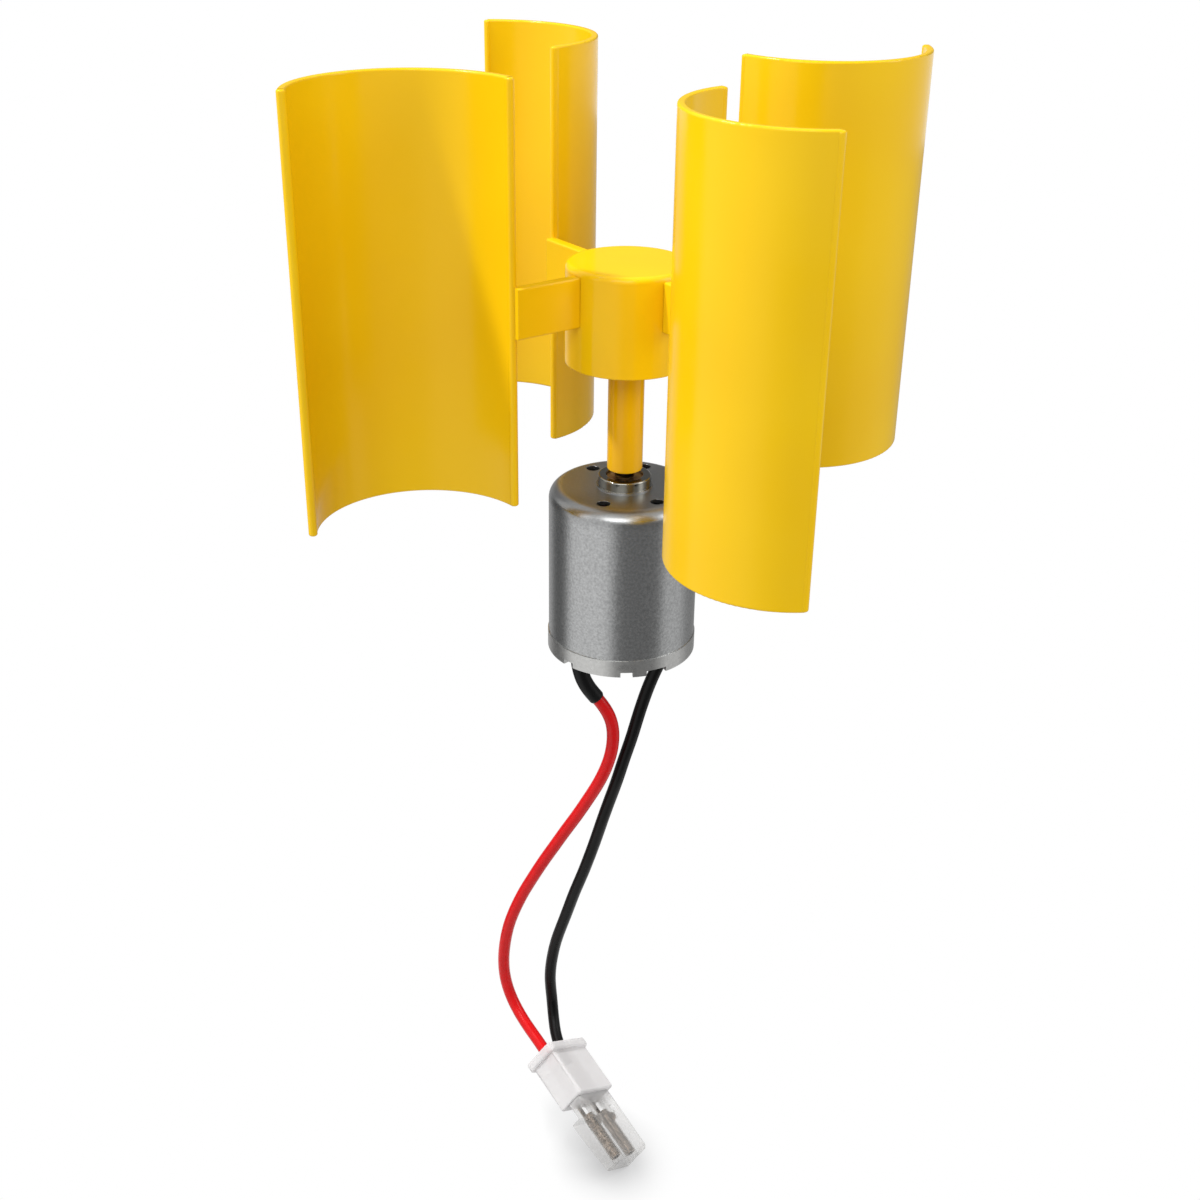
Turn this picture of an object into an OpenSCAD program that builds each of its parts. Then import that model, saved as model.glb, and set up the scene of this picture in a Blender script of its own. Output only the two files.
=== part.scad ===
// Wind turbine generator kit: a four-bladed upright rotor on the shaft of a
// small direct-current motor, which makes the current, with a lead to a plug.
// Millimetres. The origin is the middle of the motor's front face, +Z points
// up the shaft to the rotor, and the wires hang below.

/* [Blades] */
// Outer diameter of the curve that a blade follows
blade_d = 34; // [29:0.5:40]
// Thickness of a blade's wall
blade_wall = 1.1; // [1:0.1:1.8]
// Height of a blade
blade_h = 64; // [40:0.5:80]
// Degrees of the curve that a blade wraps
blade_sweep = 147; // [120:1:170]
// Degrees from an arm's line to the blade's inner edge
blade_turn = 2.5; // [0:0.5:3]
// Distance from the shaft to the centre of a blade's curve
blade_reach = 37.2; // [35:0.2:44]
// How far the bead on an upright edge stands proud of each face
bead_proud = 0.1; // [0.1:0.05:0.3]
// Rounding of a blade's upper and lower rims
rim_round = 0.3; // [0.2:0.05:0.45]
// Height of a blade's middle above the middle of its arm
blade_rise = 1.3; // [-5:0.1:5]

/* [Arms] */
// Height of an arm
arm_h = 7.7; // [6:0.1:9]
// Thickness of an arm
arm_t = 1.8; // [1.5:0.1:2.4]
// Depth of an arm's top edge below the hub's top
arm_drop = 0.9; // [0.6:0.1:2]
// Rounding of an arm's long edges
arm_round = 0.3; // [0.1:0.05:0.5]
// Step from an arm's upper and lower edges in to its tenon
tenon_step = 1; // [0.6:0.1:1.6]
// Step from an arm's two faces in to its tenon
tenon_cheek = 0.3; // [0.2:0.05:0.4]
// Reach of a tenon past the inside of the hub's wall
tenon_past = 1.5; // [0.8:0.1:2]

/* [Hub and stem] */
// Diameter of the hub
hub_d = 19.4; // [18:0.2:23]
// Height of the hub
hub_h = 15.6; // [13:0.2:19]
// Thickness of the hub's wall and top
hub_wall = 1.6; // [1.2:0.1:2]
// Rounding of the hub's top edge
hub_edge = 0.9; // [0.5:0.1:1.2]
// Thickness of the ribs that guide a tenon inside the hub
rib_t = 0.9; // [0.7:0.1:1.2]
// Wall of the socket inside the hub that holds the stem
socket_wall = 1.4; // [1:0.1:1.8]
// Diameter of the stem
stem_d = 5.7; // [5:0.1:6.6]
// Length of the stem between its lower end and the hub
stem_show = 18.1; // [12:0.1:26]
// Gap between the motor's boss and the stem
stem_gap = 1; // [0.6:0.1:2]
// Rounding of the stem's lower edge
stem_round = 0.3; // [0.1:0.05:0.5]

/* [Motor case] */
// Diameter of the steel can
can_d = 24.4; // [23.4:0.1:27]
// Height of the can from its front face to the cover's step
can_h = 25.9; // [25:0.1:30]
// Thickness of the can's sheet
can_wall = 0.8; // [0.6:0.1:1]
// Rounding of the can's front shoulder
can_shoulder = 2.2; // [1.4:0.1:2.6]
// Diameter of the boss on the front face
boss_d = 8.6; // [8:0.1:9.6]
// Height of the boss above the front face
boss_h = 1.9; // [1.4:0.1:2.4]
// Depth of the bearing's top below the boss's rim
boss_sink = 0.5; // [0.3:0.1:0.9]
// Diameter of the four holes in the front face
face_hole_d = 2.2; // [1.8:0.1:2.6]
// Spacing of those holes across
face_hole_x = 8.5; // [8.3:0.1:9.5]
// Spacing of those holes front to back
face_hole_y = 14.7; // [13:0.1:15.5]
// Height of the cover's band at the can's lower end
cover_h = 2.9; // [2.4:0.1:4]
// How far the band stands proud of the can
cover_proud = 0.15; // [0.05:0.05:0.2]
// Height of the lip by which the cover sits in the can
cover_lip = 2; // [1.4:0.1:3]
// Thickness of the cover's ledge, which the end bell is held against
ledge_t = 0.5; // [0.4:0.1:0.7]
// Width of the narrow notches in the band's lower edge
notch_w = 2; // [1.2:0.1:2.6]
// Width of the wide notches, beside a wire
wide_notch_w = 3.6; // [2.8:0.1:4.4]
// Height of the notches
notch_h = 0.85; // [0.7:0.05:1]

/* [Generator works] */
// Diameter of the shaft
shaft_d = 2; // [1.6:0.1:2.4]
// Length of the shaft inside the stem
shaft_grip = 11; // [7:0.5:15]
// Diameter of the collar on the shaft under the stem
collar_d = 3.1; // [2.8:0.1:3.6]
// Outer diameter of the two bearing bushes
bush_d = 6; // [5.4:0.1:6.6]
// Length of the front bush
front_bush_h = 3; // [2.4:0.1:3.6]
// Length of the rear bush
rear_bush_h = 2.6; // [2:0.1:3]
// Height of the boss round the rear bush below the end bell
rear_boss_h = 1.5; // [1:0.1:2]
// Thickness of the two magnets
magnet_t = 2.4; // [1.8:0.1:2.8]
// Height of the magnets
magnet_h = 15; // [12:0.5:16]
// Degrees that a magnet wraps
magnet_sweep = 125; // [100:1:140]
// Width of the clip that spreads the magnets
clip_d = 1; // [0.8:0.1:1.2]
// Air gap between the magnets and the core
air_gap = 0.45; // [0.35:0.05:0.7]
// Height of the spacer washers between the armature and the front bush
washer_h = 3.5; // [2:0.5:5]
// Width of the neck of each of the core's poles
pole_neck = 3; // [2.4:0.1:3.6]
// Thickness of the rim of each pole
pole_rim = 1.5; // [1.2:0.1:1.8]
// Width of the slot between two pole rims
pole_slot = 2.2; // [1.6:0.1:3]
// Thickness of the winding on a pole's neck
coil_t = 1.5; // [1:0.1:1.8]
// Diameter of the commutator's bars
bars_d = 5; // [4.4:0.1:5.6]
// Height of the commutator's bars
bars_h = 3; // [2.4:0.1:3.6]
// Thickness of the commutator's bars
bars_t = 0.5; // [0.4:0.05:0.7]
// Slot between two of the commutator's bars
bars_slot = 0.5; // [0.3:0.05:0.8]
// Thickness of the plastic end bell
bell_t = 1.2; // [1:0.1:1.3]
// Thickness of a brush's spring leaf
leaf_t = 0.3; // [0.2:0.05:0.4]
// Height of a brush
brush_h = 2; // [1.4:0.1:2.2]

/* [Leads] */
// Diameter of a wire over its insulation
wire_d = 2.2; // [1.6:0.1:2.2]
// Diameter of the shrink sleeve on the red wire
sleeve_d = 2.7; // [2.6:0.1:3]
// Distance of a terminal from the shaft, sideways
terminal_x = 7.5; // [7:0.1:8]
// Distance of the terminals in front of the shaft
terminal_y = 2; // [1.5:0.1:2.5]
// Width of a terminal's tab
terminal_w = 1.6; // [1.2:0.1:2]
// Thickness of a terminal's tab
terminal_t = 0.5; // [0.4:0.05:0.7]
// Length of a terminal's tab below the end bell
terminal_l = 2.6; // [2:0.1:3.4]

/* [Plug] */
// Broad side of the plug's body
plug_w = 11; // [10:0.1:12.5]
// Narrow side of the plug's body
plug_t = 6; // [5.6:0.1:7]
// Length of the plug's body with its flange
plug_body = 11.3; // [9:0.1:13]
// Overall length of the plug
plug_l = 25; // [23:0.5:28]
// Thickness of the flange where the wires enter
flange_t = 1.7; // [1.2:0.1:2.2]
// How far the flange stands out round the body
flange_lip = 0.7; // [0.5:0.1:1]
// Rounding of the body's long edges
plug_round = 0.6; // [0.3:0.1:0.9]
// Step of the nose in from the body's near edge
nose_step = 0.2; // [0.1:0.1:0.5]
// Step of the nose in from the body's far edge
nose_far_step = 0.7; // [0.3:0.1:1.2]
// Narrow side of the nose
nose_t = 5; // [4.6:0.1:5.6]
// How much the nose's near edge slopes in
nose_slope = 1.6; // [0.4:0.1:1.8]
// Rounding of the nose's far corner
tip_round = 2.4; // [1:0.1:2.4]
// Length of the notch between the body and the nose's shoulder
catch_l = 3.2; // [2:0.1:4]
// Depth of that notch
catch_d = 2.2; // [1.4:0.1:2.4]
// Spacing of the plug's two poles
pole_pitch = 4.8; // [4.6:0.1:5]
// Bore of the cavity of each pole
cavity_d = 2.3; // [2.25:0.05:2.4]
// Diameter of the windows over the contacts
window_d = 1.5; // [1:0.1:1.8]
// Diameter of a contact's barrels
contact_d = 2; // [1.8:0.05:2]
// Thickness of a contact's sheet
contact_t = 0.3; // [0.25:0.05:0.35]
// How far the ribs of a contact's neck stand proud
rib_proud = 0.1; // [0.05:0.01:0.1]
// Length of the crimped barrel
crimp_l = 5; // [4:0.1:5.5]
// Length of the strip between the two barrels
strip_l = 6; // [5:0.1:6.5]
// Length of the socket barrel with its ribbed neck
socket_l = 9.4; // [7:0.1:9.6]
// Outer radius of the lance that locks a contact
lance_r = 0.9; // [0.6:0.1:1]
// Width of the lance
lance_w = 0.9; // [0.6:0.1:1.1]

/* [Hidden] */
$fn = 64;

// Turn of the first arm and the quarter turn between arms
first_arm = 29.7;
arm_turn = 90;
// Turns of the narrow and the wide notches in the band's lower edge
narrow_turns = [-142, -93, 38, 87];
wide_turns = [-69, 111];
// Number of poles of the core, and of coils and commutator bars
poles = 3;
pole_turn = 360 / poles;
// Largest rounding of a bead's ends, as a share of the bead's radius
bead_share = 0.48;
// Number of sides of a wire's tube, and of the ribs on a contact's neck
wire_sides = 8;
neck_ribs = 4;

// Clearances: pressed together, seated by hand, running, and facing across a gap
press_gap = 0.01;
seat_gap = 0.05;
run_gap = 0.03;
face_gap = 0.3;
// Overrun of a cut past the surface it opens
over = 1;

// The routes of the two wires, from the terminals down to the plug
red_route = [
    [-7.5, -2, -29.5], [-7.3, -2, -34.5], [-4.2, -2.5, -38], [-1.6, -3, -42],
    [-1.2, -2.5, -47], [-1.9, -2, -51.5], [-3.5, -1.5, -56], [-5.3, -0.5, -60],
    [-7.1, 0.5, -64], [-9.2, 1.5, -68], [-11.1, 2.5, -72], [-13.1, 3.5, -76],
    [-15.1, 4.5, -80.5], [-16.8, 5.5, -84.5], [-18.5, 6, -89], [-19.6, 7, -93.5],
    [-20.3, 7.5, -98.5], [-20.5, 8, -103], [-20, 8, -108], [-18.3, 6.5, -112.5],
    [-16, 3, -115], [-13.5, -1, -116.5], [-11.5, -4.5, -118.5]
];
black_route = [
    [7.5, -2, -29.5], [5.5, -2, -34], [4.2, -1.5, -38.5], [3, -1.5, -43],
    [2.1, -1, -47.5], [0.9, -0.5, -52], [-0.2, 0, -57], [-1.3, 1, -61.5],
    [-2.6, 1.5, -66.5], [-3.5, 2.5, -71], [-4.7, 3, -75.5], [-5.8, 4, -80],
    [-7.1, 5, -84.5], [-8.1, 6, -89], [-9.2, 7, -93.5], [-10.3, 8, -98],
    [-11.1, 8.5, -103], [-11.5, 8.5, -107.5], [-11, 8.5, -112.5], [-10.9, 6, -116.5],
    [-10.5, 2, -119], [-8.5, -2, -120.5]
];
// Where the middle of the plug's flange is, how the plug is turned, and the
// depth at which its contacts take the wires
plug_place = [-11.2, -0.6, -118];
plug_turn = [114, 29, 43];
wire_depth = 3.3;
// Number of route points that the red wire's sleeve covers
sleeve_points = 3;

// Radii and levels of the rotor
inner_turn = 180 + blade_turn;
blade_r = blade_d / 2;
blade_mid_r = blade_r - blade_wall / 2;
bead_r = blade_wall / 2 + bead_proud;
bead_round = min(rim_round, bead_share * bead_r);
hub_r = hub_d / 2;
hub_bore_r = hub_r - hub_wall;
stem_r = stem_d / 2;
socket_r = stem_r + press_gap + socket_wall;
stem_z = boss_h + stem_gap;
hub_z = stem_z + stem_show;
hub_top = hub_z + hub_h;
stem_top = hub_top - hub_wall - seat_gap;
arm_z = hub_top - arm_drop - arm_h;
arm_mid_z = arm_z + arm_h / 2;
blade_z = arm_mid_z + blade_rise - blade_h / 2;
tenon_t = arm_t - 2 * tenon_cheek;
tenon_h = arm_h - 2 * tenon_step;
tenon_end = hub_bore_r - tenon_past;

// Radii and levels of the motor, below the front face
can_r = can_d / 2;
can_bore_r = can_r - can_wall;
cover_r = can_r + cover_proud;
cover_bore_r = can_bore_r;
lip_r = can_bore_r - seat_gap;
lip_bore_r = lip_r - can_wall;
cover_z = -can_h - cover_h;
bell_r = cover_bore_r - seat_gap;
bell_top = -can_h - ledge_t;
bell_z = bell_top - bell_t;
tab_t = can_wall / 2;
bush_r = bush_d / 2;
boss_r = boss_d / 2;
boss_skirt = boss_sink / 2;
shaft_r = shaft_d / 2;
front_bush_top = boss_h - boss_sink;
front_bush_z = front_bush_top - front_bush_h;
rear_bush_z = bell_z - rear_boss_h;
rear_bush_top = rear_bush_z + rear_bush_h;
rear_seat_r = bush_r + can_wall;
shaft_z = rear_bush_z;
shaft_top = stem_z + shaft_grip;
bars_r = bars_d / 2;
bars_z = rear_bush_top + face_gap + bars_t;
bars_top = bars_z + bars_h;
barrel_top = bars_top + bars_t;
core_z = barrel_top + coil_t + face_gap;
core_top = front_bush_z - face_gap - washer_h - seat_gap - coil_t;
core_h = core_top - core_z;
magnet_r = can_bore_r - seat_gap;
magnet_bore_r = magnet_r - magnet_t;
magnet_z = core_z + core_h / 2 - magnet_h / 2;
core_r = magnet_bore_r - air_gap;
rim_bore_r = core_r - pole_rim;
core_hub_r = shaft_r + pole_neck / 2;
brush_z = bars_z + bars_h / 2 - brush_h / 2;
brush_face = bars_r + face_gap;
wire_r = wire_d / 2;
sleeve_r = sleeve_d / 2;

// Places in the plug's own frame
near_x = nose_step - plug_w / 2;
far_x = plug_w / 2 - nose_far_step;
low_y = -plug_t / 2;
pole_y = low_y + nose_t / 2;
shoulder_z = plug_body + catch_l;
contact_r = contact_d / 2;
strip_z = wire_depth + crimp_l;
socket_z = strip_z + strip_l;
lance_z = socket_z + 2 * lance_r;

// A half section, from the axis out, of a round body of height h that stands
// on zero and has its upper edge rounded by e
module domed_section(r, h, e) {
    square([r, h - e]);
    square([r - e, h]);
    translate([r - e, h - e]) circle(e);
}

// A section of width w and height h that stands on zero, with four round corners
module soft_section(w, h, e) {
    translate([e, 0]) square([w - 2 * e, h]);
    translate([0, e]) square([w, h - 2 * e]);
    for (x = [e, w - e], y = [e, h - e]) translate([x, y]) circle(e);
}

// A rounded rectangle centred on zero
module soft_rectangle(w, h, e) {
    translate([-w / 2, -h / 2]) soft_section(w, h, e);
}

module ring(outer, inner, h) {
    difference() {
        cylinder(r = outer, h = h);
        translate([0, 0, -over]) cylinder(r = inner, h = h + 2 * over);
    }
}

// A route with its corners drawn in, as a bent wire takes them: each point but
// the two ends becomes the weighted mean of itself and its neighbours
function eased(route) =
    let (last = len(route) - 1)
    [for (i = [0 : last])
        i == 0 || i == last ? route[i] : (route[i - 1] + 4 * route[i] + route[i + 1]) / 6];

// A tube of radius r swept along a route, with a ring of sides at each point
function tube_way(route, i) =
    let (last = len(route) - 1, a = route[max(i - 1, 0)], b = route[min(i + 1, last)])
    (b - a) / norm(b - a);
function tube_ring(route, i, r, sides) =
    let (
        t = tube_way(route, i),
        u = cross(t, [1, 1, 0]) / norm(cross(t, [1, 1, 0])),
        v = cross(t, u)
    )
    [for (k = [0 : sides - 1]) route[i] + r * (u * cos(360 * k / sides) + v * sin(360 * k / sides))];
function tube_side(i, k, sides) =
    let (a = i * sides + k, b = i * sides + (k + 1) % sides)
    [[a, b, b + sides], [a, b + sides, a + sides]];

module tube(route, r, sides) {
    last = len(route) - 1;
    points = [for (i = [0 : last]) each tube_ring(route, i, r, sides)];
    walls = [for (i = [0 : last - 1], k = [0 : sides - 1]) each tube_side(i, k, sides)];
    start_cap = [for (k = [1 : sides - 2]) [0, k + 1, k]];
    end_cap = [for (k = [1 : sides - 2]) [last * sides, last * sides + k, last * sides + k + 1]];
    polyhedron(points, concat(walls, start_cap, end_cap));
}

module bead(h) {
    rotate_extrude() intersection() {
        translate([-bead_r, 0]) soft_section(2 * bead_r, h, bead_round);
        square([bead_r, h]);
    }
}

// One blade, standing on its arm's line, with its curve on the side that turns
// away from the wind's push
module blade_shell() {
    translate([blade_reach, 0, blade_z]) {
        rotate([0, 0, inner_turn]) rotate_extrude(angle = blade_sweep)
            translate([blade_r - blade_wall, 0]) soft_section(blade_wall, blade_h, rim_round);
        for (turn = [inner_turn, inner_turn + blade_sweep])
            rotate([0, 0, turn]) translate([blade_mid_r, 0, bead_proud]) bead(blade_h - 2 * bead_proud);
    }
}

// The arm, cut to the hub's round side, and the tenon that goes through its wall
module arm() {
    difference() {
        translate([0, 0, arm_mid_z]) rotate([90, 0, 90])
            linear_extrude(blade_reach - blade_mid_r) soft_rectangle(arm_t, arm_h, arm_round);
        cylinder(r = hub_r + seat_gap, h = hub_top + over);
    }
    translate([tenon_end, -tenon_t / 2, arm_mid_z - tenon_h / 2])
        cube([hub_r - tenon_end + arm_t, tenon_t, tenon_h]);
}

module blade(index) {
    color("gold") rotate([0, 0, first_arm + arm_turn * index]) {
        blade_shell();
        arm();
    }
}

// The window in the hub's wall for a tenon, and the two ribs that guide it
module tenon_window() {
    translate([tenon_end, -tenon_t / 2 - seat_gap, arm_mid_z - tenon_h / 2 - seat_gap])
        cube([hub_d, tenon_t + 2 * seat_gap, tenon_h + 2 * seat_gap]);
}

module guide_ribs() {
    for (side = [0, 1]) mirror([0, side, 0])
        translate([stem_r, tenon_t / 2 + seat_gap, arm_z])
            cube([hub_bore_r + hub_wall / 2 - stem_r, rib_t, hub_top - hub_wall / 2 - arm_z]);
}

module rotor_hub() {
    color("gold") difference() {
        union() {
            translate([0, 0, hub_z]) rotate_extrude() difference() {
                domed_section(hub_r, hub_h, hub_edge);
                square([hub_bore_r, hub_h - hub_wall]);
            }
            translate([0, 0, hub_z]) cylinder(r = socket_r, h = hub_h - hub_wall / 2);
            for (i = [0 : 3]) rotate([0, 0, first_arm + arm_turn * i]) guide_ribs();
        }
        translate([0, 0, hub_z - over])
            cylinder(r = stem_r + press_gap, h = stem_top + seat_gap - hub_z + over);
        for (i = [0 : 3]) rotate([0, 0, first_arm + arm_turn * i]) tenon_window();
    }
}

module rotor_stem() {
    stem_l = stem_top - stem_z;
    color("goldenrod") translate([0, 0, stem_z]) rotate_extrude() difference() {
        translate([0, stem_l]) mirror([0, 1]) domed_section(stem_r, stem_l, stem_round);
        square([shaft_r + press_gap, shaft_grip + seat_gap]);
    }
}

// The drawn steel can, closed at the front, with the boss raised in its face
module motor_can() {
    color("silver") difference() {
        union() {
            translate([0, 0, -can_h]) rotate_extrude() difference() {
                domed_section(can_r, can_h, can_shoulder);
                domed_section(can_bore_r, can_h - can_wall, can_shoulder - can_wall);
            }
            cylinder(r = boss_r + boss_skirt, h = boss_skirt);
            translate([0, 0, -can_wall / 2]) rotate_extrude()
                domed_section(boss_r, boss_h + can_wall / 2, boss_skirt);
            translate([0, 0, front_bush_z]) cylinder(r = rear_seat_r, h = -front_bush_z);
        }
        translate([0, 0, front_bush_z - over])
            cylinder(r = bush_r + press_gap, h = boss_h - front_bush_z + 2 * over);
        for (x = [-face_hole_x / 2, face_hole_x / 2], y = [-face_hole_y / 2, face_hole_y / 2])
            translate([x, y, -can_wall - over]) cylinder(d = face_hole_d, h = can_wall + 2 * over);
    }
}

// The steel cover: a band under the can, a lip and a ledge inside it, and a
// tab over each notch that is folded in under the end bell
module end_cover() {
    color("gainsboro") difference() {
        union() {
            translate([0, 0, cover_z]) ring(cover_r, cover_bore_r, cover_h);
            translate([0, 0, bell_top]) ring(lip_r, lip_bore_r, ledge_t + cover_lip);
            translate([0, 0, bell_top]) ring(cover_bore_r + tab_t, lip_bore_r, ledge_t);
            for (turn = narrow_turns) rotate([0, 0, turn]) folded_tab(notch_w);
            for (turn = wide_turns) rotate([0, 0, turn]) folded_tab(wide_notch_w);
        }
        for (turn = narrow_turns) rotate([0, 0, turn]) notch(notch_w);
        for (turn = wide_turns) rotate([0, 0, turn]) notch(wide_notch_w);
    }
}

module notch(w) {
    translate([cover_bore_r - tab_t, -w / 2, cover_z - over]) cube([can_r, w, notch_h + over]);
}

module folded_tab(w) {
    tab_z = bell_z - seat_gap - tab_t;
    translate([lip_bore_r - tab_t, -w / 2, tab_z]) cube([cover_bore_r - lip_bore_r + 2 * tab_t, w, tab_t]);
}

// The plastic end bell, which holds the rear bush and the two terminals
module end_bell() {
    color("dimgray") difference() {
        union() {
            translate([0, 0, bell_z]) cylinder(r = bell_r, h = bell_t - seat_gap);
            translate([0, 0, rear_bush_z]) cylinder(r = rear_seat_r, h = rear_bush_h);
        }
        translate([0, 0, rear_bush_z - over]) cylinder(r = bush_r + press_gap, h = rear_bush_h + 2 * over);
        for (side = [-1, 1]) terminal_slot(side);
    }
}

module terminal_slot(side) {
    translate([side * terminal_x, -terminal_y, bell_z - over]) rotate([0, 0, 90])
        translate([-terminal_w / 2 - seat_gap, -terminal_t / 2 - seat_gap, 0])
            cube([terminal_w + 2 * seat_gap, terminal_t + 2 * seat_gap, bell_t + 2 * over]);
}

module bush(z, h) {
    color("peru") translate([0, 0, z]) difference() {
        cylinder(r = bush_r, h = h);
        translate([0, 0, -over]) cylinder(r = shaft_r + run_gap, h = h + 2 * over);
    }
}

module magnet(side) {
    color("darkslategray") rotate([0, 0, side * 180 - magnet_sweep / 2]) translate([0, 0, magnet_z])
        rotate_extrude(angle = magnet_sweep) translate([magnet_bore_r, 0]) square([magnet_t, magnet_h]);
}

// The bent strip that spreads the two magnets, in the gap between their ends
module magnet_clip() {
    clip_r = magnet_r - clip_d - seat_gap;
    half_gap = 90 - magnet_sweep / 2;
    leg_turn = asin(clip_d / clip_r);
    color("gray") translate([0, 0, magnet_z]) {
        for (side = [-1, 1]) rotate([0, 0, 90 + side * (half_gap - leg_turn) - leg_turn / 2])
            rotate_extrude(angle = leg_turn) translate([clip_r, 0]) square([clip_d, magnet_h]);
        rotate([0, 0, 90 - half_gap + leg_turn]) rotate_extrude(angle = 2 * (half_gap - leg_turn))
            translate([clip_r, 0]) square([clip_d, clip_d]);
    }
}

// A terminal: a flat tab through the end bell, square to the way to the shaft
module terminal(side) {
    tab_z = bell_z - terminal_l;
    color("lightgray") translate([side * terminal_x, -terminal_y, tab_z]) rotate([0, 0, 90])
        translate([-terminal_w / 2, -terminal_t / 2, 0])
            cube([terminal_w, terminal_t, brush_z + brush_h - tab_z]);
}

// A brush: a leaf that runs from its terminal to beside the bars, and its block
module brush(side) {
    leaf_in = brush_face + leaf_t;
    leaf_y = terminal_y + terminal_w / 2 + seat_gap;
    color("sandybrown") mirror([side < 0 ? 1 : 0, 0, 0]) translate([0, 0, brush_z]) {
        translate([leaf_in, -leaf_y - leaf_t, 0])
            cube([terminal_x + terminal_t / 2 - leaf_in, leaf_t, brush_h]);
        translate([leaf_in, -leaf_y - leaf_t, 0]) cube([leaf_t, leaf_y + leaf_t + brush_h / 2, brush_h]);
        translate([brush_face, -brush_h / 2, 0]) cube([leaf_t + leaf_t / 2, brush_h, brush_h]);
    }
}

module shaft() {
    color("lightsteelblue") translate([0, 0, shaft_z]) cylinder(r = shaft_r, h = shaft_top - shaft_z);
}

module shaft_collar() {
    collar_z = front_bush_top + face_gap;
    color("slategray") translate([0, 0, collar_z])
        ring(collar_d / 2, shaft_r + press_gap, stem_z - seat_gap - collar_z);
}

// Thrust washers that keep the armature between the two bushes
module thrust_washers() {
    washer_r = bush_r - can_wall;
    color("white") {
        translate([0, 0, core_top + coil_t + seat_gap])
            ring(washer_r, shaft_r + press_gap, washer_h);
        translate([0, 0, rear_bush_top + face_gap]) ring(washer_r, shaft_r + press_gap, bars_t - seat_gap);
    }
}

// The core's stack of plates: a hub, a neck for each pole and a rim on each neck
module armature_core() {
    color("lightslategray") translate([0, 0, core_z]) difference() {
        union() {
            ring(core_r, rim_bore_r, core_h);
            cylinder(r = core_hub_r, h = core_h);
            for (i = [0 : poles - 1]) rotate([0, 0, pole_turn * i])
                translate([core_hub_r / 2, -pole_neck / 2, 0])
                    cube([rim_bore_r + pole_rim / 2 - core_hub_r / 2, pole_neck, core_h]);
        }
        translate([0, 0, -over]) cylinder(r = shaft_r + press_gap, h = core_h + 2 * over);
        for (i = [0 : poles - 1]) rotate([0, 0, pole_turn * (i + 1 / 2)])
            translate([rim_bore_r - over, -pole_slot / 2, -over])
                cube([pole_rim + 2 * over, pole_slot, core_h + 2 * over]);
    }
}

// The winding of one pole: a block wrapped round the neck, inside the rim
module coil(index) {
    inner_x = core_hub_r + coil_t;
    coil_w = pole_neck + 2 * coil_t;
    color("chocolate") rotate([0, 0, pole_turn * index]) intersection() {
        difference() {
            translate([inner_x, -coil_w / 2, core_z - coil_t])
                cube([rim_bore_r - inner_x, coil_w, core_h + 2 * coil_t]);
            translate([0, -pole_neck / 2 - seat_gap, core_z - seat_gap])
                cube([core_r, pole_neck + 2 * seat_gap, core_h + 2 * seat_gap]);
        }
        translate([0, 0, core_z - core_h]) cylinder(r = rim_bore_r - seat_gap, h = 3 * core_h);
    }
}

module commutator_barrel() {
    color("saddlebrown") {
        translate([0, 0, bars_z]) ring(bars_r - bars_t - press_gap, shaft_r + press_gap, bars_h);
        translate([0, 0, bars_top]) ring(bars_r + bars_t, shaft_r + press_gap, barrel_top - bars_top);
    }
}

module commutator_bars() {
    color("peru") translate([0, 0, bars_z]) difference() {
        ring(bars_r, bars_r - bars_t, bars_h - seat_gap);
        for (i = [0 : poles - 1]) rotate([0, 0, pole_turn * (i + 1 / 2)])
            translate([0, -bars_slot / 2, -over]) cube([bars_d, bars_slot, bars_h + 2 * over]);
    }
}

module red_sleeve() {
    covered = [for (i = [0 : sleeve_points - 1]) eased(red_route)[i]];
    color("black") tube(covered, sleeve_r, wire_sides);
}

module red_wire() {
    color("red") tube(eased(red_route), wire_r, wire_sides);
}

module black_wire() {
    color("black") tube(eased(black_route), wire_r, wire_sides);
}

// Places what it holds in the plug's own frame: X across the broad side, Y
// across the narrow one and Z from the flange to the nose
module at_plug() {
    translate(plug_place) rotate(plug_turn) children();
}

module at_pole(side) {
    translate([side * pole_pitch / 2, pole_y, 0]) children();
}

// The nose seen on its broad side: its near edge slopes in past the shoulder
// and its far corner is round
module nose_outline() {
    polygon([
        [near_x, 0], [near_x, shoulder_z], [near_x + nose_slope, plug_l],
        [far_x - tip_round, plug_l], [far_x, plug_l - tip_round], [far_x, 0]
    ]);
    translate([far_x - tip_round, plug_l - tip_round]) circle(tip_round);
}

module nose() {
    intersection() {
        translate([0, low_y + nose_t, 0]) rotate([90, 0, 0]) linear_extrude(nose_t) nose_outline();
        translate([(near_x + far_x) / 2, pole_y, 0]) linear_extrude(plug_l + over)
            soft_rectangle(far_x - near_x, nose_t, plug_round);
    }
}

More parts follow.
